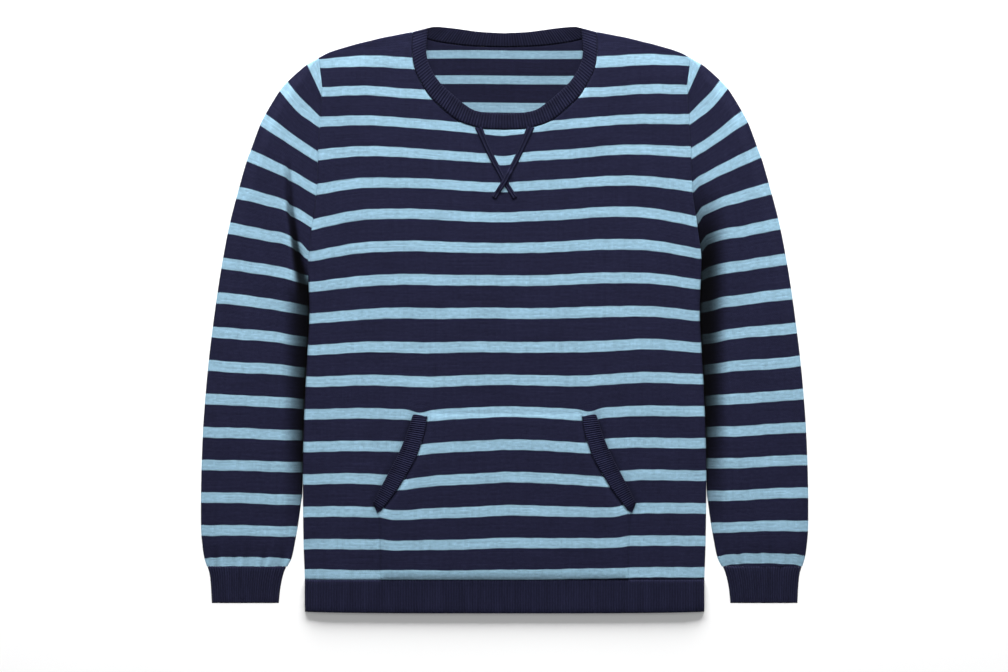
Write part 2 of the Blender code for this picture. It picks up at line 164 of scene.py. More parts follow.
POCKET_AT = (0, 78, 126, 150)
POCKET_STRIPES = [
    (-1, -346, -346, -346, -345),
    (0, -306, -306, -306, -306),
    (1, -268, -269, -270, -268),
    (2, -229, -231, -233, -229),
    (3, -189, -192, -197, -196),
    (4, -150, -153, -157, -160),
    (5, -110, -114, -117, -119),
    (6, -71, -75, -77, -79),
]
BACK_STRIPES = [
    (k, y) for k, y in enumerate([-306, -268, -229, -190, -150, -111, -72, -33, 8, 49, 91, 133, 174, 216, 256, 289, 319, 350])
]


# %% [markdown]
# ## Tools for cutting cloth
#
# A curve is a smooth line through a short table, and a panel is a triangle net inside an outline.
# The net is fine, about 5 mm, because the folds and the chart are carried by its points.


# %% Curves and heights
def curve(table, count=0, step=3.0):
    """Points evenly spaced on a smooth curve through a table's points."""
    points = np.array(table, float)
    ends = np.vstack([2 * points[0] - points[1], points, 2 * points[-1] - points[-2]])
    t = np.linspace(0, 1, 17)[1:, None]
    fine = [points[:1]]
    for a, b, c, d in zip(ends, ends[1:], ends[2:], ends[3:]):
        fine.append(0.5 * (2 * b + (c - a) * t + (2 * a - 5 * b + 4 * c - d) * t**2 + (3 * b - a - 3 * c + d) * t**3))
    fine = np.vstack(fine)
    length = np.concatenate([[0], np.cumsum(np.hypot(*np.diff(fine, axis=0).T))])
    at = np.linspace(0, length[-1], count or max(2, int(round(length[-1] / step)) + 1))
    return np.column_stack([np.interp(at, length, fine[:, 0]), np.interp(at, length, fine[:, 1])])


def x_at(table, y):
    points = curve(table, step=2.0)
    order = np.argsort(points[:, 1])
    return np.interp(y, points[order, 1], points[order, 0])


def rise(value):
    """Goes softly from 0 to 1."""
    value = np.clip(value, 0.0, 1.0)
    return value * value * (3 - 2 * value)


def apart(points, distance):
    """A row of points moved sideways, to the left of the way it runs."""
    way = np.gradient(points, axis=0)
    way /= np.hypot(*way.T)[:, None]
    return points + distance * np.column_stack([-way[:, 1], way[:, 0]])


def distance_to(x, y, line, closed=False):
    """How far each place is from a line of points."""
    line = np.asarray(line, float)
    a, b = (line, np.roll(line, -1, axis=0)) if closed else (line[:-1], line[1:])
    way = b - a
    far = np.full(x.shape, 1e9)
    for (ax, ay), (wx, wy) in zip(a, way):
        share = np.clip(((x - ax) * wx + (y - ay) * wy) / max(wx * wx + wy * wy, 1e-9), 0, 1)
        far = np.minimum(far, np.hypot(x - ax - share * wx, y - ay - share * wy))
    return far


BODY_SIDE = np.vstack([curve(ARMHOLE), curve(SIDE)[1:]])[::-1]
SHOULDER_LINE = curve(SHOULDER)


def half_width(y):
    return np.interp(y, BODY_SIDE[:, 1], BODY_SIDE[:, 0])


def seam_height(y):
    return 1.2 * rise((y - UNDERARM) / 40)


def front_top(x, y):
    """Height of the front's upper face: it stands off the back in the middle and sinks to its edges."""
    edge = seam_height(y)
    inside = half_width(y) - np.abs(x)
    height = edge + (FULLNESS - edge) * rise(inside / 30)
    below = np.interp(np.abs(x), SHOULDER_LINE[:, 0], SHOULDER_LINE[:, 1]) - y
    height = height * (0.25 + 0.75 * rise(below / 34))
    wave = 0.35 * np.cos(x / 57 + y / 130) * np.cos(y / 83 - 0.7) + 0.2 * np.cos(x / 31 - y / 61 + 1.1)
    height = height + wave * rise(inside / 45) * rise(below / 45)
    return FLAT + np.maximum(height, 0.0)


# %% Stripes from a chart
def stripe_count(chart, widths, x, y):
    """How many stripes up the cloth each place is, counted from the light stripe by the hem."""
    rows = []
    for row in chart:
        line = curve(list(zip(widths, row[1:])), count=80)
        rows.append(np.interp(np.abs(x), line[:, 0], line[:, 1]))
    rows = np.array(rows)
    steps = (y - rows[:-1]) / (rows[1:] - rows[:-1])
    count = chart[0][0] + np.clip(steps, 0, 1).sum(axis=0)
    return count + np.minimum(steps[0], 0) + np.maximum(steps[-1] - 1, 0)


def hang(x, y):
    """How much higher the stripes lie than in the charts: the jumper was laid down a little askew."""
    beside_pocket = 2.3 * np.exp(-(((x - 165) / 50) ** 2)) - 0.6 * np.exp(-(((x + 165) / 50) ** 2))
    askew = 1.75 * x / 230
    askew = askew * np.where(x < 0, 1 - 0.8 * rise((-272 - y) / 25), 1.0)
    return 0.65 + askew + beside_pocket * rise((-100 - y) / 80)


def charted(chart, widths, x, y, shade=1.0):
    """The knitting chart of some places: wales across, courses up, and the painted shade that darkens their colour."""
    uneven = 0.45 * np.sin(x / 37 + y / 90) + 0.3 * np.sin(x / 17 - y / 55) + 0.18 * np.sin(x / 4.3 + y / 23)
    count = stripe_count(chart, widths, x, y - hang(x, y) + uneven)
    return np.column_stack([x / WALE, COURSES * count, shade + 0 * x])


# %% Meshes
def cloth(name, points, faces, knit, replaces, slot, material):
    """A piece of cloth from points in millimetres, with its knitting chart, that stands for a solid."""
    mesh = bpy.data.meshes.new(name)
    mesh.from_pydata([tuple(p) for p in np.asarray(points) * 0.001], [], faces)
    shell = bmesh.new()
    shell.from_mesh(mesh)
    bmesh.ops.recalc_face_normals(shell, faces=shell.faces)
    shell.to_mesh(mesh)
    shell.free()
    mesh.polygons.foreach_set("use_smooth", [True] * len(mesh.polygons))
    chart = mesh.attributes.new("knit", "FLOAT_VECTOR", "POINT")
    chart.data.foreach_set("vector", np.asarray(knit, np.float32).ravel())
    mesh.materials.append(material)
    piece = bpy.data.objects.new(name, mesh)
    bpy.context.scene.collection.objects.link(piece)
    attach(piece, "root")
    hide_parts(*replaces)
    print(name, len(mesh.polygons), "faces")
    return piece


def inside_of(x, y, outline):
    """Whether each place is inside a closed outline."""
    inside = np.zeros(x.shape, bool)
    for (ax, ay), (bx, by) in zip(outline, np.roll(outline, -1, axis=0)):
        if ay != by:
            inside ^= ((ay > y) != (by > y)) & (x < ax + (y - ay) * (bx - ax) / (by - ay))
    return inside


def resampled(outline, step=3.0):
    """A closed outline with points every few millimetres, and its own corners kept."""
    points = []
    for a, b in zip(outline, np.roll(outline, -1, axis=0)):
        pieces = max(1, int(round(np.hypot(*(b - a)) / step)))
        points += [a + (b - a) * i / pieces for i in range(pieces)]
    return np.array(points)


def net(outline, spacing, depths=(0.7, 1.8, 3.6)):
    """Triangles inside an outline: a regular grid, and closer rows along the edge, where the cloth rounds over."""
    low, high = outline.min(axis=0), outline.max(axis=0)
    x, y = np.meshgrid(np.arange(low[0], high[0], spacing), np.arange(low[1], high[1], spacing))
    x, y = (x + 0.5 * spacing * (np.arange(len(x)) % 2)[:, None]).ravel(), y.ravel()
    kept = inside_of(x, y, outline)
    x, y = x[kept], y[kept]
    kept = distance_to(x, y, outline, closed=True) > depths[-1] + 0.5 * spacing
    inner = [np.column_stack([x[kept], y[kept]])]
    turn = np.sum(outline[:, 0] * np.roll(outline[:, 1], -1) - np.roll(outline[:, 0], -1) * outline[:, 1])
    closed = np.vstack([outline[-1:], outline, outline[:1]])
    for depth in depths:
        ring = apart(closed, depth if turn > 0 else -depth)[1:-1]
        inner.append(ring[distance_to(ring[:, 0], ring[:, 1], outline, closed=True) > 0.9 * depth])
    flat = [Vector(p) for p in np.vstack([outline] + inner)]
    points, _, faces, *_ = delaunay_2d_cdt(flat, [], [list(range(len(outline)))], 1, 1e-3)
    return np.array([tuple(p) for p in points]), faces


def panel(name, outline, spacing, top, chart, bottom=None, **rest):
    """A cut piece of cloth: an upper and a lower face on one net, joined by a rounded edge."""
    outline = resampled(np.array(outline, float))
    points, faces = net(outline, spacing)
    x, y = points.T
    edge = 1 - np.clip(distance_to(x, y, outline, closed=True) / 1.8, 0, 1)
    high = top(x, y)
    low = high - CLOTH if bottom is None else bottom(x, y)
    round_off = 0.42 * (high - low) * edge**2
    count = len(points)
    solid = np.vstack([np.column_stack([x, y, low + 0.6 * round_off]), np.column_stack([x, y, high - round_off])])
    sides = []
    edges = {(f[i - 1], f[i]) for f in faces for i in range(3)}
    for a, b in edges:
        if (b, a) not in edges:
            sides.append((a, b, b + count, a + count))
    net_faces = [tuple(f[::-1]) for f in faces] + [tuple(i + count for i in f) for f in faces] + sides
    knit = chart(x, y)
    return cloth(name, solid, net_faces, np.vstack([knit, knit]), **rest)


def loft(name, sections, knit, ring=False, **rest):
    """Cloth through a row of closed cuts, each with as many points as the next."""
    sections = np.asarray(sections)
    count, size = sections.shape[:2]
    i = np.arange(count if ring else count - 1)[:, None]
    k = np.arange(size)[None, :]
    a, b, n = i * size, (i + 1) % count * size, (k + 1) % size
    faces = np.stack([a + k, a + n, b + n, b + k], axis=-1).reshape(-1, 4).tolist()
    if not ring:
        faces += [list(range(size))[::-1], list(range((count - 1) * size, count * size))]
    return cloth(name, sections.reshape(-1, 3), faces, np.asarray(knit).reshape(-1, 3), **rest)


# %% [markdown]
# ## Yarn
#
# Both cloths are combed cotton. It is matt, because light enters the fibres and leaves them in all directions,
# and a fine fuzz on the surface brightens it a little at grazing angles, which is what the sheen is for.
# In jersey, every stitch shows as a V. Two slanted legs make one wale, and the next course starts half hidden
# under it. The shader makes the legs from the chart: a ridge on each side of the wale's middle,
# cut by a slanted wave. Since the yarn changes with the course, the edge of a stripe has the stitches' fine teeth.
# The chart's third number is painted shade: it darkens the yarn's colour where a place should look shaded, as at the
# bottom of a fold.


# %% Colours and nodes
def linear(code):
    """An sRGB hex colour as the linear numbers that shaders use."""
    parts = [int(code[i : i + 2], 16) / 255 for i in (1, 3, 5)]
    return tuple(p / 12.92 if p <= 0.04045 else ((p + 0.055) / 1.055) ** 2.4 for p in parts) + (1.0,)


def node(tree, kind, links=None, **settings):
    """Adds a node, sets it, and joins or fills its inputs."""
    made = tree.nodes.new(kind)
    for name, value in settings.items():
        setattr(made, name, value)
    for name, value in (links or {}).items():
        if isinstance(value, bpy.types.NodeSocket):
            tree.links.new(value, made.inputs[name])
        else:
            made.inputs[name].default_value = value
    return made


NAVY = linear("#1F2036")
DEEP_NAVY = linear("#1E1F34")
LIGHT_BLUE = linear("#8DB1C6")


def combed_cotton(name):
    """A matt cotton with no pattern yet, its nodes, and its chart taken apart."""
    made = bpy.data.materials.new(name)
    made.use_nodes = True
    shader = made.node_tree.nodes["Principled BSDF"]
    shader.inputs["Roughness"].default_value = 1.0
    shader.inputs["Specular IOR Level"].default_value = 0.04
    shader.inputs["Sheen Weight"].default_value = 0.02
    shader.inputs["Sheen Roughness"].default_value = 0.5
    chart = node(made.node_tree, "ShaderNodeAttribute", attribute_name="knit").outputs["Vector"]
    part = node(made.node_tree, "ShaderNodeSeparateXYZ", {0: chart})
    return made, made.node_tree, shader, chart, part


# %% Jersey
def jersey(name):
    """Plain knitting in two yarns. The chart's x counts wales and its y counts courses."""
    made, tree, shader, chart, part = combed_cotton(name)
    # How far across its wale a place is: 0 between two wales, 0.5 in the middle of one
    across = node(tree, "ShaderNodeMath", {0: part.outputs["X"], 1: 0.5}, operation="PINGPONG").outputs[0]
    leg = node(tree, "ShaderNodeMath", {0: across, 1: 6.2832}, operation="MULTIPLY").outputs[0]
    leg = node(tree, "ShaderNodeMath", {0: leg}, operation="SINE").outputs[0]
    slant = node(tree, "ShaderNodeMath", {0: across, 1: 1.3, 2: part.outputs["Y"]}, operation="MULTIPLY_ADD").outputs[0]
    turn = node(tree, "ShaderNodeMath", {0: slant, 1: 0.5}, operation="PINGPONG").outputs[0]
    stitch = node(tree, "ShaderNodeMath", {0: leg, 1: turn}, operation="MULTIPLY").outputs[0]
    # The yarn of each course: eight light courses, then seventeen navy ones
    course = node(tree, "ShaderNodeMath", {0: slant}, operation="FLOOR").outputs[0]
    middle = node(tree, "ShaderNodeMath", {0: course, 1: 0.5}, operation="ADD").outputs[0]
    away = node(tree, "ShaderNodeMath", {0: middle, 1: COURSES / 2}, operation="PINGPONG").outputs[0]
    is_light = node(tree, "ShaderNodeMath", {0: away, 1: 4.0}, operation="LESS_THAN").outputs[0]
    yarn = node(tree, "ShaderNodeMix", {0: is_light, 6: NAVY, 7: LIGHT_BLUE}, data_type="RGBA").outputs[2]
    # Yarn isn't quite even: flecks a few stitches long, thicker and thinner courses, and wales that catch more light
    wale = node(tree, "ShaderNodeMath", {0: part.outputs["X"]}, operation="FLOOR").outputs[0]
    along = node(tree, "ShaderNodeCombineXYZ", {"X": wale, "Y": course})
    fleck = node(tree, "ShaderNodeVectorMath", {0: along.outputs[0], 1: (0.36, 0.81, 0)}, operation="MULTIPLY").outputs[0]
    row = node(tree, "ShaderNodeVectorMath", {0: along.outputs[0], 1: (0.03, 0.91, 0)}, operation="MULTIPLY").outputs[0]
    column = node(tree, "ShaderNodeVectorMath", {0: along.outputs[0], 1: (0.61, 0.03, 0)}, operation="MULTIPLY").outputs[0]
    cloud = node(tree, "ShaderNodeVectorMath", {0: along.outputs[0], 1: (0.05, 0.04, 0)}, operation="MULTIPLY").outputs[0]
    # Painted shade of the stitches: darker between the legs, lighter on them
    shade = node(tree, "ShaderNodeMapRange", {"Value": stitch, "From Max": 0.4, "To Min": 0.80, "To Max": 1.08}).outputs[0]
    for place, amount in ((fleck, 0.17), (row, 0.13), (column, 0.06), (cloud, 0.05)):
        uneven = node(tree, "ShaderNodeTexNoise", {"Vector": place, "Scale": 1.0, "Detail": 1.0}).outputs["Fac"]
        limits = {"Value": uneven, "From Min": 0.25, "From Max": 0.75, "To Min": 1 - amount, "To Max": 1 + amount}
        uneven = node(tree, "ShaderNodeMapRange", limits).outputs[0]
        shade = node(tree, "ShaderNodeMath", {0: shade, 1: uneven}, operation="MULTIPLY").outputs[0]
    # The chart's painted shade darkens the colour where the cloth should look shaded
    shade = node(tree, "ShaderNodeMath", {0: shade, 1: part.outputs["Z"]}, operation="MULTIPLY").outputs[0]
    colour = node(tree, "ShaderNodeVectorMath", {0: yarn, "Scale": shade}, operation="SCALE").outputs[0]
    bump = node(tree, "ShaderNodeBump", {"Height": stitch, "Strength": 0.6, "Distance": 0.0008})
    tree.links.new(colour, shader.inputs["Base Color"])
    tree.links.new(bump.outputs[0], shader.inputs["Normal"])
    return made


# %% Rib
def rib(name, colour, depth, crest=(0.08, 0.36)):
    """Rib knitting in one yarn. The chart's x counts ribs, with 0 in a groove, and its y counts courses."""
    made, tree, shader, chart, part = combed_cotton(name)
    across = node(tree, "ShaderNodeMath", {0: part.outputs["X"], 1: 0.5}, operation="PINGPONG").outputs[0]
    slant = node(tree, "ShaderNodeMath", {0: across, 1: 1.2, 2: part.outputs["Y"]}, operation="MULTIPLY_ADD").outputs[0]
    turn = node(tree, "ShaderNodeMath", {0: slant, 1: 0.5}, operation="PINGPONG").outputs[0]
    limits = {"Value": across, "From Min": crest[0], "From Max": crest[1]}
    ridge = node(tree, "ShaderNodeMapRange", limits, interpolation_type="SMOOTHSTEP").outputs[0]
    stitch = node(tree, "ShaderNodeMath", {0: ridge, 1: turn}, operation="MULTIPLY").outputs[0]
    height = node(tree, "ShaderNodeMath", {0: ridge, 1: 0.5, 2: stitch}, operation="MULTIPLY_ADD").outputs[0]
    # Painted shade of the ribs: darker in the grooves, lighter on the crests, by depth
    shade = node(tree, "ShaderNodeMapRange", {"Value": height, "To Min": 1 - depth, "To Max": 1 + depth}).outputs[0]
    # Some ribs stand more open than others, and the yarn has flecks
    for scale, amount in (((0.37, 0.02, 0), 0.16), ((0.9, 0.6, 0), 0.12)):
        place = node(tree, "ShaderNodeVectorMath", {0: chart, 1: scale}, operation="MULTIPLY").outputs[0]
        uneven = node(tree, "ShaderNodeTexNoise", {"Vector": place, "Scale": 1.0, "Detail": 1.0}).outputs["Fac"]
        limits = {"Value": uneven, "From Min": 0.25, "From Max": 0.75, "To Min": 1 - amount, "To Max": 1 + amount}
        uneven = node(tree, "ShaderNodeMapRange", limits).outputs[0]
        shade = node(tree, "ShaderNodeMath", {0: shade, 1: uneven}, operation="MULTIPLY").outputs[0]
    # The chart's painted shade darkens the colour where the rib should look shaded
    shade = node(tree, "ShaderNodeMath", {0: shade, 1: part.outputs["Z"]}, operation="MULTIPLY").outputs[0]
    tint = node(tree, "ShaderNodeVectorMath", {0: colour[:3], "Scale": shade}, operation="SCALE").outputs[0]
    bump = node(tree, "ShaderNodeBump", {"Height": height, "Strength": 0.6, "Distance": 0.0007})
    tree.links.new(tint, shader.inputs["Base Color"])
    tree.links.new(bump.outputs[0], shader.inputs["Normal"])
    return made


cotton_jersey = jersey("combed_cotton_jersey_striped")
neck_rib = rib("combed_cotton_rib_neck", DEEP_NAVY, 0.34, crest=(0.2, 0.5))
trim_rib = rib("combed_cotton_rib_trim", NAVY, 0.42)
hem_rib = rib("combed_cotton_rib_hem", DEEP_NAVY, 0.14)

# %% [markdown]
# ## Front and back
#
# The two panels are cut alike but for the neck. The front stands off the back by a few millimetres,
# because cloth that has been worn and washed never presses quite flat.


# %% Body panels
def mirrored(points):
    """A half outline's points from the middle out, made into the whole, from the left round to the right."""
    return [(-x, y) for x, y in points[::-1] if x > 0.01] + [tuple(p) for p in points]


def body_outline(neck):
    hem = HEM_SEAM + GAP / 2
    neck_edge = apart(curve(neck), -GAP)
    neck_edge[0][0] = 0.0
    neck_edge[-1] = (110.9, 345.6)
    side = [tuple(p) for p in curve(SIDE)[1:] if p[1] > hem + 1.5] + [(half_width(hem), hem)]
    half = [tuple(p) for p in neck_edge] + [tuple(p) for p in SHOULDER_LINE[1:]] + [tuple(p) for p in curve(ARMHOLE)[1:]]
    return mirrored(half + side)


TRIM_EDGE = curve(TRIM_FREE)


def front_chart(x, y):
    # Inside the V the cloth hangs a little lower, and so it does where the pocket's trims begin
    v = np.interp(y, [163.4, 227.6], [0.0, 27.0])
    lower = 2.4 * rise((v - np.abs(x)) / 3) * rise((y - 163) / 12) * (1 - rise((y - 202) / 10))
    lower = lower + 4.0 * np.exp(-(((np.abs(x) - 101) / 11) ** 2) - ((y + 110) / 12) ** 2)
    # Painted shade on the body beside the trims, which stand a little open
    shade = 1 - 0.4 * np.exp(-((distance_to(np.abs(x), y, TRIM_EDGE) / 3.5) ** 2))
    # Painted shade along the body's side edge below the underarm, where the sleeve lies beside it
    inside = half_width(y) - np.abs(x)
    shade = shade * (1 - 0.6 * np.exp(-((inside / 1.3) ** 2)) * rise((60 - y) / 20) * rise((y + 230) / 100))
    return charted(BODY_STRIPES, BODY_AT, x, y + lower, shade)


def back_chart(x, y):
    heights = np.array([row[1] for row in BACK_STRIPES])
    count = np.interp(y + 0.4 * np.sin(x / 33), heights, np.arange(len(heights)))
    # The whole back panel gets painted shade, since what shows of it lies inside the neck
    return np.column_stack([x / WALE, COURSES * count, 0.73 + 0 * x])


front = panel(
    "front_cloth", body_outline(FRONT_SEAM), 5.0, front_top, front_chart,
    replaces=["front_panel"], slot="body_knit", material=cotton_jersey,
)
back = panel(
    "back_cloth", body_outline(BACK_SEAM), 6.0, lambda x, y: CLOTH + 0 * x, back_chart,
    bottom=lambda x, y: 0 * x, replaces=["back_panel"], slot="body_knit", material=cotton_jersey,
)

# %% [markdown]
# ## Sleeves
#
# A sleeve is a tube pressed flat. Each row of points is one loop round it: along the underside,
# round the outer fold, and back over the top. Above the underarm the loop is open,
# since the sleeve's edge is sewn to the armhole there. Beside the armhole the cloth has more length
# than it needs, and falls into a trough that runs down to the underarm. The two sides aren't alike:
# one trough lies out on the sleeve, and the other right at the seam.

# %% The troughs: height up the sleeve, distance from the middle, half width outward and inward, depth and painted shade
TROUGHS = {
    -1: [
        (-190, 241.0, 10, 9, 0.3, 0.0), (-130, 239.0, 12, 9, 1.0, 0.0), (8, 237.5, 11, 9, 2.8, 0.0),
        (38, 241.5, 9, 8, 4.0, 0.96), (58, 245.5, 7.5, 8, 4.6, 0.98), (74, 248.5, 6.5, 6, 4.8, 0.97),
        (88, 251.3, 5, 5, 4.6, 0.94), (110, 253.8, 5, 4.5, 3.8, 0.85), (130, 257.0, 5, 4.5, 2.8, 0.72),
        (170, 258.5, 6, 2.5, 1.6, 0.35), (196, 260.0, 5, 2, 0.0, 0.0),
    ],
    1: [
        (-190, 242.0, 8, 9, 0.2, 0.0), (-60, 238.0, 12, 9, 1.6, 0.0), (20, 235.5, 12, 9, 3.0, 0.0),
        (60, 236.0, 12, 9, 3.6, 0.0), (110, 233.0, 12, 9, 3.2, 0.2), (140, 231.5, 11, 9, 2.4, 0.15),
        (165, 229.0, 9, 9, 1.2, 0.08), (190, 228.0, 9, 9, 0.0, 0.0),
    ],
}
# Where a sleeve sinks beside the body its colour gets soft painted shade. Columns: distance from the middle where the
# shade begins to lift, over how far it lifts, how dark it is, then the heights where it comes in and where it dies
# away, each followed by the length of that change
PAINTED_SHADE_BESIDE = {
    -1: (238, 32, 0.75, -285, 140, 18, 40),
    1: (243, 28, 0.78, -290, 200, 65, 110),
}


# %% Sleeve
def trough_at(x, y, side):
    """How far each place is from the trough's middle, in half widths, with its depth and its painted shade."""
    table = np.array(TROUGHS[side])
    middle, outward, inward, depth, dark = (np.interp(y, table[:, 0], table[:, i]) for i in (1, 2, 3, 4, 5))
    away = np.where(x > middle, (x - middle) / outward, (middle - x) / inward)
    return away, depth, dark


def sleeve_top(x, y, inner, outer, side):
    edge = seam_height(y)
    full = SLEEVE_FULLNESS - 1.3 * (1 - rise((y - CUFF_SEAM) / 30))
    height = edge + (full - edge) * rise((x - inner) / 24)
    away, depth, _ = trough_at(x, y, side)
    height = height + 0.35 * np.cos(x / 31 + y / 47 + side) * rise((x - inner) / 40)
    height = height - depth * np.exp(-(away**2.4))
    # Gathers above the cuff, uneven in length and depth
    across = (x - inner) / (outer - inner)
    up = y - CUFF_SEAM
    gather = np.cos(34 * across + 1.3 * side) * np.exp(-up / 17) + 0.9 * np.cos(57 * across + 2 * side) * np.exp(-up / 10)
    height = height + 0.7 * gather * rise(np.minimum(across, 1 - across) / 0.1) * (0.35 + 0.65 * rise(up / 10))
    height = height * np.where(height > 0, rise((outer - x) / np.minimum(20.0, 0.6 * (outer - inner))), 1.0)
    return FLAT + np.maximum(height, CLOTH - FLAT + 0.1)


def sleeve_chart(x, y, inner, outer, side):
    away, _, dark = trough_at(x, y, side)
    # Painted shade on the edge that turns down beside the body
    painted_edge_shade = 0.7 * np.exp(-(((x - inner) / 2.4) ** 2)) * rise((60 - y) / 20) * rise((y + 250) / 90)
    near, lifting, darkness, low, coming, high, dying = PAINTED_SHADE_BESIDE[side]
    beside = darkness * (1 - rise((x - near) / lifting))
    beside = beside * rise((y - low) / coming) * (1 - rise((y - high) / dying))
    # The trough's dark, the turned-down edge and the side beside the body are all painted shade
    shade = (1 - dark * np.exp(-(away**5))) * (1 - painted_edge_shade) * (1 - beside) ** 2.2
    # The cloth that turns down into the trough carries its stripes with it
    if side < 0:
        fold = np.interp(y, [r[0] for r in TROUGHS[-1]], [r[1] for r in TROUGHS[-1]])
        lift = 3.5 * rise((x - fold) / 4) * (1 - rise((x - 262) / 24)) * np.exp(-(((y - 125) / 60) ** 2))
        lift = lift - 1.2 * np.exp(-(((x - 300) / 24) ** 2) - ((y - 95) / 60) ** 2)
        lift = lift - 6.0 * (1 - rise((x - inner) / 12)) * np.exp(-(((y - 80) / 16) ** 2))
        lift = lift + 1.5 * np.exp(-(((x - 247) / 13) ** 2)) * rise((y - 108) / 20) * (1 - rise((y - 225) / 15))
    else:
        lift = 6.5 * rise((x - inner) / 9) * (1 - rise((x - 252) / 38)) * np.exp(-(((y - 110) / 62) ** 2))
        lift = lift + 2.0 * np.exp(-(((x - inner) / 12) ** 2) - ((y - 52) / 22) ** 2)
        lift = lift + 1.6 * np.exp(-(((x - 263) / 13) ** 2) - ((y - 22) / 42) ** 2)
    across = (x - inner) / (outer - inner)
    up = y - CUFF_SEAM
    gather = np.cos(34 * across + 1.3 * side) * np.exp(-up / 17) + 0.9 * np.cos(57 * across + 2 * side) * np.exp(-up / 10)
    # Painted light on the gathers' ridges and painted shade in their hollows
    shade = shade * (1 + 0.10 * gather)
    lift = lift + 0.8 * gather * rise((up - 4) / 8) - 2.0 * rise(1 - np.minimum(across, 1 - across) / 0.13) * rise(1 - up / 30)
    knit = charted(SLEEVE_STRIPES, SLEEVE_AT, side * x, y - lift, shade)
    knit[:, 0] = (x - 0.5 * (inner + outer)) / WALE
    return knit


def sleeve(name, side, node_name):
    rows = np.concatenate([[314.0, 312.6, 311.0, 308.5, 305.5], np.arange(302, CUFF_SEAM + 2, -3.9), [CUFF_SEAM + 0.7, CUFF_SEAM + GAP / 2]])
    rows[np.argmin(np.abs(rows - UNDERARM))] = UNDERARM
    outside, inside, chart = [], [], []
    over = np.concatenate([[0.0, 0.45, 1.4, 3.0, 5.5], np.linspace(9, 42, 24), np.linspace(44, 100, 22)])
    for y in rows:
        inner = half_width(y) + GAP
        if y < UNDERARM:
            inner = max(inner, float(x_at(SLEEVE_INNER, y)))
        outer = max(float(x_at(SLEEVE_OUTER, y)), inner + 1.0)
        wide = outer - inner
        r = min(0.5 * FLAT, 0.45 * wide)
        span = wide - r
        top_x = inner + np.where(over < 9, np.minimum(over, 0.09 * span * over / 9 + over * 0.3), span * over / 100)
        top_x = np.maximum.accumulate(top_x)
        top_z = sleeve_top(top_x, np.full(top_x.shape, y), inner, outer, side)
        if y < UNDERARM:
            top_x[0] -= 0.5
            top_z[0] -= 1.0
            top_z[1] -= 0.35
        else:  # sewn on: the edge runs under the body's
            top_x[0] -= 0.8
            top_z[0] -= 0.3
        under_x = inner + np.array([0.0, 0.3, 1.2, 6, 20, 40, 60, 80, 100]) * np.where(np.arange(9) < 3, 1, span / 100)
        under_x = np.minimum(np.maximum.accumulate(under_x), inner + span)
        if y < UNDERARM:
            under_x[0] -= 0.5
        under_z = np.array([1.0, 0.35, 0, 0, 0, 0, 0, 0, 0])
        turn = np.radians([-60, -30, 0, 30, 60])
        fold_x = outer - r + r * np.cos(turn)
        fold_z = 0.5 * FLAT * (1 + np.sin(turn))
        loop_x = np.concatenate([under_x, fold_x, top_x[::-1]])
        loop_z = np.concatenate([under_z, fold_z, top_z[::-1]])
        outside.append(np.column_stack([side * loop_x, np.full(loop_x.shape, y), loop_z]))
        # The hidden inner face: the same loop, one cloth further in
        wall = 0.0 if y > UNDERARM else CLOTH
        low = np.minimum(CLOTH, 0.5 * np.interp(under_x, top_x, top_z))
        in_under = np.clip(under_x, inner + wall, outer - 0.5 * r - 0.5)
        in_fold = np.full(5, outer - 0.5 * r - 0.4)
        in_top = np.clip(top_x[::-1], inner + wall, outer - 0.5 * r - 0.5)
        in_top_z = np.maximum(top_z[::-1] - CLOTH, np.minimum(CLOTH + GAP, 0.6 * top_z[::-1]))
        in_z = np.concatenate([low, np.linspace(CLOTH, CLOTH + GAP, 5), in_top_z])
        in_x = np.concatenate([in_under, in_fold, in_top])
        inside.append(np.column_stack([side * in_x, np.full(in_x.shape, y), in_z]))
        chart.append(sleeve_chart(loop_x, np.full(loop_x.shape, y), inner, outer, side))
    around, count = len(outside[0]), len(rows)
    points = np.vstack(outside + inside)
    knit = np.vstack(chart + chart)
    hollow, last = around * count, around - 1
    joined = int(np.argmin(np.abs(rows - UNDERARM)))
    faces = []
    for r in range(count - 1):
        a, b = r * around, (r + 1) * around
        for k in range(around if r >= joined else last):
            n = (k + 1) % around
            faces.append((a + k, b + k, b + n, a + n))
            faces.append((hollow + a + k, hollow + a + n, hollow + b + n, hollow + b + k))
        if r < joined:
            faces.append((a, hollow + a, hollow + b, b))
            faces.append((a + last, b + last, hollow + b + last, hollow + a + last))
    a = joined * around
    faces.append((a, hollow + a, hollow + a + last, a + last))
    faces.append(tuple(range(around)) + tuple(hollow + k for k in range(around))[::-1])
    a = (count - 1) * around
    faces += [(a + k, hollow + a + k, hollow + a + (k + 1) % around, a + (k + 1) % around) for k in range(around)]
    return cloth(name, points, faces, knit, [node_name], "sleeve_knit", cotton_jersey)


sleeve_r = sleeve("sleeve_right_cloth", -1, "sleeve_right")
sleeve_l = sleeve("sleeve_left_cloth", 1, "sleeve_left")

# %% [markdown]
# ## Ribs
#
# Rib knitting stands up in ridges because its plain and purl wales pull together.
# Each rib is modelled with a rounded top. It grips the body at the hem and the arm at the cuff.

# %% Hem
PER_RIB = 8


def ridge(count):
    """The height of a rib at a count of ribs, round on top and narrow in the groove."""
    return RIB_RAISE * np.sqrt(np.abs(np.sin(np.pi * count)))


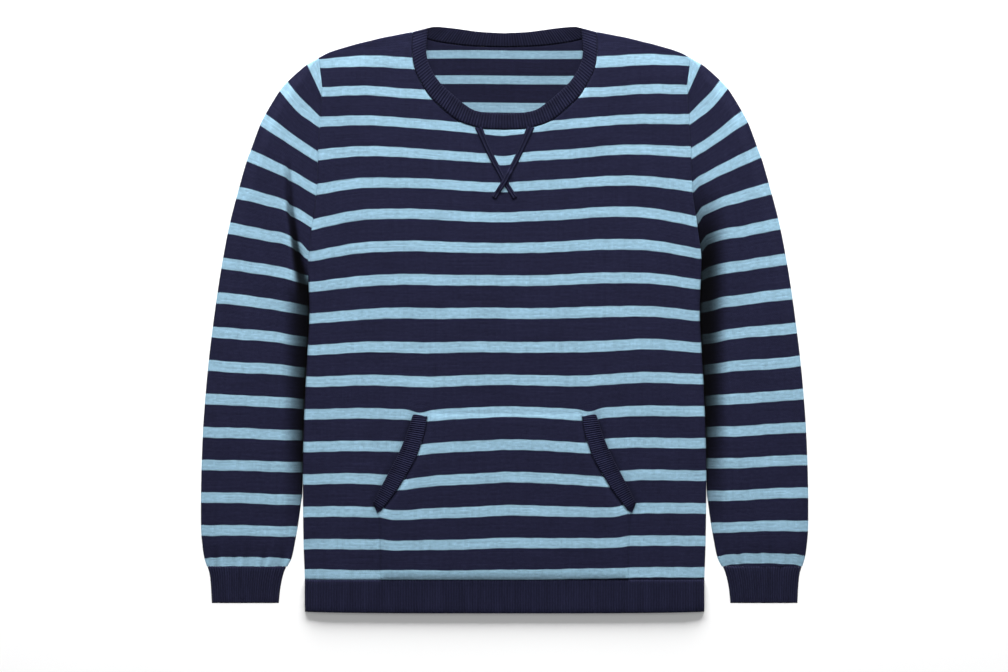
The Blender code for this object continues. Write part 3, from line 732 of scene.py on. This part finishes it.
hem_top = HEM_SEAM - GAP / 2
hem_wide = float(half_width(hem_top))
ribs = int(round(2 * hem_wide / HEM_RIB))
sections, chart = [], []
for i in range(PER_RIB * ribs + 1):
    count = i / PER_RIB
    x = hem_wide * (2 * count / ribs - 1)
    inside = hem_wide - abs(x)
    end = HEM_END + 1.8 * (x / hem_wide) ** 4
    end = end + 4.5 - (4.5**2 - max(4.5 - inside, 0) ** 2) ** 0.5
    raised = float(ridge(count)) * (1 - 0.35 * float(rise(inside / 30)))
    top, tail = float(front_top(x, hem_top)), FLAT + 1.2 * float(rise(inside / 26))
    share = np.array([0.0, 0.02, 0.06, 0.15, 0.35, 0.6, 0.85, 0.96, 0.99, 1.0])
    drop = np.array([0.8, 0.2, 0.0, 0.0, 0.0, 0.0, 0.0, 0.15, 0.5, 1.0])
    y = hem_top + share * (end - hem_top)
    y[:2] += 0.4 * float(ridge(count)) / RIB_RAISE  # the ribs' tops reach into the light stripe
    z = top + share**0.7 * (tail - top) - drop
    upper = np.column_stack([np.full(y.shape, x), y, z + raised * (1 - 0.5 * drop)])
    lower = np.column_stack([np.full(3, x), y[[9, 5, 0]], (top + share**0.7 * (tail - top))[[9, 5, 0]] - CLOTH])
    sections.append(np.vstack([upper, lower]))
    courses = (hem_top - np.concatenate([y, y[[9, 5, 0]]])) / COURSE
    chart.append(np.column_stack([np.full(courses.shape, count), courses, 1 + 0 * courses]))
hem_front = loft("hem_front_rib", sections, chart, replaces=["hem_front"], slot="hem_rib", material=hem_rib)

sections, chart = [], []
for i in range(2 * ribs + 1):
    x = hem_wide * (i / ribs - 1)
    end = HEM_END + 1.8 * (x / hem_wide) ** 4
    y = np.array([hem_top, end + 0.3, end, end, end + 0.3, hem_top])
    z = np.array([0.0, 0.0, 0.4, CLOTH - 0.4, CLOTH, CLOTH])
    sections.append(np.column_stack([np.full(6, x), y, z]))
    chart.append(np.column_stack([np.full(6, i / 2), (hem_top - y) / COURSE, 1 + 0 * y]))
hem_back = loft("hem_back_rib", sections, chart, replaces=["hem_back"], slot="hem_rib", material=hem_rib)


# %% Cuffs
def cuff(name, side, node_name):
    ribs = int(round((CUFF_OUTER[0][0] - CUFF_INNER[0][0]) / CUFF_RIB))
    y = np.array([-296.5, -297.0, -298.5, -302, -308, -316, -324, -332, -337, -339, -339.7, -340.0])
    drop = np.array([0.9, 0.25, 0, 0, 0, 0, 0, 0, 0, 0.15, 0.5, 1.0])
    inner, outer = x_at(CUFF_INNER, y), x_at(CUFF_OUTER, y)
    r = 0.5 * FLAT
    sections, chart = [], []

    def cut(x, z, plain, count, reach=0.0):
        over = np.column_stack([side * x, y + reach * np.interp(y, [-299, -297], [0, 1]), z])
        under = np.column_stack([side * (x[::-1] + plain[0]), y[::-1], plain[1][::-1]])
        sections.append(np.vstack([over, under]))
        courses = (CUFF_SEAM - np.concatenate([y, y[::-1]])) / COURSE
        chart.append(np.column_stack([np.full(courses.shape, count), courses, 1 + 0 * courses]))

    for i in range(PER_RIB * ribs + 1):
        count = i / PER_RIB
        x = inner + r * 0.5 + (outer - inner - r) * count / ribs
        edge = np.minimum(x - inner, outer - x)
        full = 2.0 * rise(edge / 16) * (1 - 0.5 * rise((CUFF_SEAM - y) / 40))
        round_over = r - np.sqrt(np.maximum(r * r - np.maximum(r - edge, 0) ** 2, 0))
        z = FLAT + full - round_over + float(ridge(count)) * rise((edge + 0.6) / 3) - drop
        plain = np.maximum(FLAT + full - CLOTH - round_over, 0.5 * FLAT + 0.1)
        cut(x, z, (0.0, plain), count, float(ridge(count)) / RIB_RAISE)
    cut(outer, 0.5 * FLAT + 0 * y, (-CLOTH, 0.5 * FLAT + 0 * y), ribs)
    for i in range(PER_RIB * ribs // 2, -1, -1):
        count = 2 * i / PER_RIB
        x = inner + r * 0.5 + (outer - inner - r) * count / ribs
        edge = np.minimum(x - inner, outer - x)
        round_over = r - np.sqrt(np.maximum(r * r - np.maximum(r - edge, 0) ** 2, 0))
        cut(x, round_over + 0.3 * drop, (0.0, np.minimum(CLOTH + round_over, 0.5 * FLAT - 0.1)), count)
    cut(inner, 0.5 * FLAT + 0 * y, (CLOTH, 0.5 * FLAT + 0 * y), 0)
    return loft(name, sections, chart, ring=True, replaces=[node_name], slot="cuff_rib", material=hem_rib)


cuff_r = cuff("cuff_right_rib", -1, "cuff_right")
cuff_l = cuff("cuff_left_rib", 1, "cuff_left")

# %% [markdown]
# ## Neck band
#
# The band is one ring of rib. On the front its outer side is up. At each shoulder it folds under,
# so that along the back of the neck its inner side shows, with the same ribs.


# %% Neck band
def neck_half():
    """The band's cuts from the middle of the front round one shoulder to the middle of the back."""
    length = len(curve(FRONT_SEAM, step=0.5)) * 0.5 * 0.94
    front_ribs = int(round(length / NECK_RIB))
    back_ribs = int(round(len(curve(BACK_SEAM, step=0.5)) * 0.5 / NECK_RIB))
    share = np.array([0.0, 0.02, 0.07, 0.16, 0.3, 0.45, 0.6, 0.75, 0.87, 0.95, 0.985, 1.0])
    drop = np.array([0.6, 0.2, 0.0, 0.0, 0.0, 0.0, 0.0, 0.0, 0.0, 0.15, 0.5, 1.0])
    hidden = [11, 9, 6, 2, 0]
    middle = 0.5 * FLAT
    cuts, charts = [], []
    count = front_ribs * PER_RIB
    seam, free = curve(FRONT_SEAM, count + 1), curve(FRONT_FREE, count + 1)
    for i in range(count):
        to_fold = (count - i) / PER_RIB * NECK_RIB
        x, y = (seam[i] + share[:, None] * (free[i] - seam[i])).T
        lift = float(front_top(*seam[i])) - FLAT
        settle = float(rise(to_fold / 15))
        front_most = float(rise((to_fold - 40) / 70))
        z = FLAT + (lift + 0.9 * np.sin(np.pi * share) - 0.8 * share) * settle - 0.9 * drop
        z = z + float(ridge(i / PER_RIB)) * settle * (0.25 + 0.55 * front_most) * (1 - 0.6 * drop)
        if to_fold < middle:
            z = np.minimum(z, middle + np.sqrt(middle**2 - (middle - to_fold) ** 2))
        plain = np.column_stack([x[hidden], y[hidden], np.full(5, FLAT - CLOTH + max(lift - 0.3, 0) * settle)])
        cuts.append(np.vstack([np.column_stack([x, y, z]), plain]))
        # Painted shade: the band's free half darker, most on the front, and the band darker towards the fold at the
        # shoulder
        painted_free_edge_shade = 0.38 * rise((share - 0.35) / 0.4) * (0.4 + 0.6 * front_most)
        charts.append((i / PER_RIB, share, (1.08 - painted_free_edge_shade) * (0.8 + 0.2 * settle)))
    x, y = (seam[-1] + share[:, None] * (free[-1] - seam[-1])).T
    edge = np.column_stack([x, y, np.full(12, middle)])
    cuts.append(np.vstack([edge, edge[hidden] - (0.0, 0.4, 0.0)]))
    charts.append((front_ribs, share, 1 + 0 * share))
    count = back_ribs * PER_RIB
    seam, free = curve(BACK_SEAM, count + 1)[::-1], curve(BACK_FREE, count + 1)[::-1]
    for i in range(1, count + 1):
        from_fold = i / PER_RIB * NECK_RIB
        x, y = (seam[i] + share[:, None] * (free[i] - seam[i])).T
        # Here the outer side lies underneath, and the plain side's points become ribs that show
        under = 0.3 * drop + np.maximum(middle - np.sqrt(max(middle**2 - max(middle - from_fold, 0) ** 2, 0)), 0)
        raised = 0.45 * float(ridge(i / PER_RIB)) * float(rise((from_fold - 14) / 8))
        plain = np.column_stack([x[hidden], y[hidden], CLOTH + raised * np.array([0.4, 1.0, 0.9, 0.4, 0.2])])
        plain[3] += (0.0, -0.6, 0.12)
        plain[4] += (0.0, -1.6, -0.05)  # linked on over the panel's edge
        cuts.append(np.vstack([np.column_stack([x, y, under]), plain]))
        # Painted shade on the back part, which lies inside the neck, darkest near the fold at the shoulder
        charts.append((front_ribs + i / PER_RIB, share, (0.70 + 0.06 * share) * (0.7 + 0.3 * rise(from_fold / 35))))
    knit = []
    for ribs_round, share, shade in charts:
        up = 19.0 / COURSE * np.concatenate([share, share[hidden]])
        knit.append(np.column_stack([np.full(17, ribs_round), up, np.concatenate([shade, shade[hidden]])]))
    return cuts, knit


cuts, knit = neck_half()
flip = np.array([-1.0, 1.0, 1.0])
neck = loft(
    "neck_band_rib", cuts + [c * flip for c in cuts[1:-1]][::-1], knit + knit[1:-1][::-1], ring=True,
    replaces=["neck_band"], slot="neck_rib", material=neck_rib,
)

# %% [markdown]
# ## Pocket
#
# The kangaroo pocket is a patch of the same jersey. Its upper edge lies in a light stripe,
# so that it hardly shows, and its two slanted mouths are bound with rib trims.

# %% Pocket
half = [(0.0, POCKET_TOP), (92.0, POCKET_TOP)]
half += [tuple(p) for p in apart(curve(TRIM_INNER), -GAP) if p[1] < POCKET_TOP - 1.5] + POCKET_SIDE


POCKET_EDGE = np.array(mirrored(half))


def pocket_bottom(x, y):
    return front_top(x, y) + GAP


def pocket_top(x, y):
    # The edges are linked to the front, so the cloth comes down to it there
    low = 1.3 * (1 - rise(distance_to(x, y, POCKET_EDGE, closed=True) / 5))
    return front_top(x, y) + GAP + CLOTH - low


def pocket_chart(x, y):
    # Painted shade along the upper edge, where the seam draws the cloth in, so no bright rim shows there
    from_top = POCKET_TOP - y
    shade = 1 - 0.30 * np.exp(-((from_top / 1.5) ** 2)) - 0.16 * np.exp(-((from_top / 4.5) ** 2))
    return charted(POCKET_STRIPES, POCKET_AT, x, y, shade)


pocket = panel(
    "pocket_cloth", POCKET_EDGE, 5.0, pocket_top, pocket_chart,
    bottom=pocket_bottom, replaces=["pocket"], slot="pocket_knit", material=cotton_jersey,
)


# %% Pocket trims
def trim(name, side, node_name):
    length = len(curve(TRIM_INNER, step=0.5)) * 0.5
    ribs = int(round(length / TRIM_RIB))
    last = PER_RIB * ribs
    inner, free = curve(TRIM_INNER, last + 1), curve(TRIM_FREE, last + 1)
    share = np.array([0.0, 0.03, 0.08, 0.2, 0.4, 0.6, 0.8, 0.92, 0.97, 1.0])
    drop = np.array([1.0, 0.3, 0.0, 0.0, 0.0, 0.0, 0.0, 0.0, 0.3, 1.0])
    cuts = [(inner[i], free[i], i) for i in range(last + 1)]
    # The lower end is drawn to a tip, and the upper end's corners are rounded
    way = np.array([0.13, -0.99])
    for step in np.linspace(0.12, 1.0, 12):
        narrow = 0.5 - 0.5 * step**1.4
        a, b = (inner[-1] * (0.5 + s) + free[-1] * (0.5 - s) for s in (narrow, -narrow))
        cuts.append((a + 9.4 * step * way, b + 9.4 * step * way, last + step * 3 * PER_RIB))
    sections, chart = [], []
    for a, b, i in cuts:
        x, y = (a + share[:, None] * (b - a)).T
        low = front_top(side * x, y) + GAP
        if i < PER_RIB:
            y = y - 2.6 * (1 - i / PER_RIB) * np.maximum(np.abs(2 * share - 1) - 0.45, 0) ** 1.3
            y = y - 3.0 * (1 - share) * (1 - i / PER_RIB)
        end = i / PER_RIB * TRIM_RIB
        open_edge = 1.2 * rise((share - 0.4) / 0.6) * rise(end / 12) * rise((last + 3 * PER_RIB - i) / 60)
        z = low + CLOTH + 0.5 * np.sin(np.pi * share) + open_edge - 0.8 * drop - 0.8 * max(1 - end / 1.2, 0) ** 2
        z = z + 1.25 * ridge(i / PER_RIB) * float(rise((last + 12 - i) / 24)) - 1.2 * float(rise((i - last) / 16))
        upper = np.column_stack([side * x, y, z])
        lower = np.column_stack([side * x[[9, 0]], y[[9, 0]], low[[9, 0]] + open_edge[[9, 0]]])
        sections.append(np.vstack([upper, lower]))
        share_all = np.concatenate([share, [1.0, 0.0]])
        # Painted shade on the trim's free side, which stands open
        shade = 1 - 0.35 * rise((share_all - 0.62) / 0.3)
        chart.append(np.column_stack([np.full(12, i / PER_RIB), 18.0 / COURSE * share_all, shade]))
    return loft(name, sections, chart, replaces=[node_name], slot="trim_rib", material=trim_rib)


trim_r = trim("pocket_trim_right_rib", -1, "pocket_trim_right")
trim_l = trim("pocket_trim_left_rib", 1, "pocket_trim_left")


# %% V bands
V_CROSS = 166.3


def v_band(name, side, over, node_name):
    line = curve(V_LINE, 120)
    wide = np.interp(np.linspace(0, 1, 120), [0, 0.25, 0.7, 1], [9.0, 7.4, 6.2, 6.0])
    way = np.gradient(line, axis=0)
    way /= np.hypot(*way.T)[:, None]
    across = np.column_stack([-way[:, 1], way[:, 0]])
    share = np.array([-0.5, -0.46, -0.38, -0.25, -0.1, 0.0, 0.1, 0.25, 0.38, 0.46, 0.5])
    shape = np.array([0.2, 0.5, 0.7, 0.85, 0.7, 0.45, 0.7, 0.85, 0.7, 0.5, 0.2])
    run = np.concatenate([[0], np.cumsum(np.hypot(*np.diff(line, axis=0).T))])
    sections, chart = [], []
    for i in range(120):
        x, y = (line[i] + share[:, None] * wide[i] * across[i]).T
        hump = float(rise(2.6 - np.hypot(line[i][0], line[i][1] - V_CROSS) / 6.5))
        low = front_top(side * x, y) + GAP + over * 1.6 * hump
        tuck = 1 - float(rise(run[i] / 4))
        upper = np.column_stack([side * x, y, low - 0.8 * tuck + shape * (1 + 0.12 * np.sin(2 * np.pi * run[i] / 2.4))])
        lower = np.column_stack([side * x[[10, 0]], y[[10, 0]], low[[10, 0]] - 0.9 * tuck])
        sections.append(np.vstack([upper, lower]))
        ribs = 2 * np.concatenate([share, share[[10, 0]]]) + 1
        chart.append(np.column_stack([ribs, np.full(13, run[i] / COURSE), 1 + 0 * ribs]))
    return loft(name, sections, chart, replaces=[node_name], slot="v_chain", material=neck_rib)


v_r = v_band("v_band_right_rib", -1, 0, "v_band_right")
v_l = v_band("v_band_left_rib", 1, 1, "v_band_left")

# %% [markdown]

# %% [markdown]
# ## Stage
#
# The jumper lies on a plain white table. A wide lamp beyond the neck lights the cloth alone and gives it most of its
# light, and a soft one above fills in. The table has a lamp of its own beyond the neck, in which only the hem throws a
# shadow, which leaves the short shadow under the hem.

# %% Floor
floor_mesh = bpy.data.meshes.new("floor")
floor_mesh.from_pydata([(-4, -4, 0), (4, -4, 0), (4, 4, 0), (-4, 4, 0)], [], [(0, 1, 2, 3)])
floor = bpy.data.objects.new("floor", floor_mesh)
bpy.context.scene.collection.objects.link(floor)
paint = bpy.data.materials.new("matt_white_table")
paint.use_nodes = True
grain = node(paint.node_tree, "ShaderNodeTexNoise", {"Scale": 60.0, "Detail": 4.0})
tone = node(paint.node_tree, "ShaderNodeMix", {0: grain.outputs["Fac"], 6: (0.93, 0.93, 0.93, 1), 7: (0.95, 0.95, 0.95, 1)}, data_type="RGBA")
paint.node_tree.links.new(tone.outputs[2], paint.node_tree.nodes["Principled BSDF"].inputs["Base Color"])
paint.node_tree.nodes["Principled BSDF"].inputs["Roughness"].default_value = 0.9
floor_mesh.materials.append(paint)


# %% Lights
def lamp(name, place, aim, size, watts, only_on=None, blocked_by=None):
    data = bpy.data.lights.new(name, "AREA")
    data.shape = "RECTANGLE"
    data.size, data.size_y = size
    data.energy = watts
    made = bpy.data.objects.new(name, data)
    made.location = place
    made.rotation_euler = (Vector(aim) - Vector(place)).to_track_quat("-Z", "Y").to_euler()
    bpy.context.scene.collection.objects.link(made)
    for kind, pieces in (("receiver_collection", only_on), ("blocker_collection", blocked_by)):
        if pieces:
            group = bpy.data.collections.new(name + "_" + kind)
            for piece in pieces:
                group.objects.link(piece)
            setattr(made.light_linking, kind, group)


knitted = [o for o in bpy.data.objects if o.type == "MESH" and o != floor]
lamp("overhead", (0.0, 0.3, 2.6), (0, 0, 0), (3.0, 3.0), 21)
lamp("beyond_the_neck", (0.0, 3.0, 1.0), (0, 0, 0), (3.4, 1.5), 370, only_on=knitted)
lamp("beyond_for_table", (0.0, 3.0, 0.78), (0, 0, 0), (3.4, 1.1), 445, only_on=[floor], blocked_by=[hem_front, hem_back])
world = bpy.data.worlds.new("studio")
world.use_nodes = True
world.node_tree.nodes["Background"].inputs["Color"].default_value = (0.98, 0.99, 1.0, 1)
world.node_tree.nodes["Background"].inputs["Strength"].default_value = 0.18
bpy.context.scene.world = world
bpy.context.scene.view_settings.view_transform = "Standard"  # keeps the yarns' colours as they were measured

# %% Camera: straight above, at 1.2 mm to a pixel of a picture 1008 pixels wide
lens = bpy.data.cameras.new("camera")
lens.lens, lens.sensor_width = 100.0, 36.0
camera = bpy.data.objects.new("camera", lens)
camera.location = (-0.0007, -0.0193, 0.006 + 1.2096 * lens.lens / lens.sensor_width)
camera.rotation_euler = (0, 0, 0)
bpy.context.scene.collection.objects.link(camera)
bpy.context.scene.camera = camera
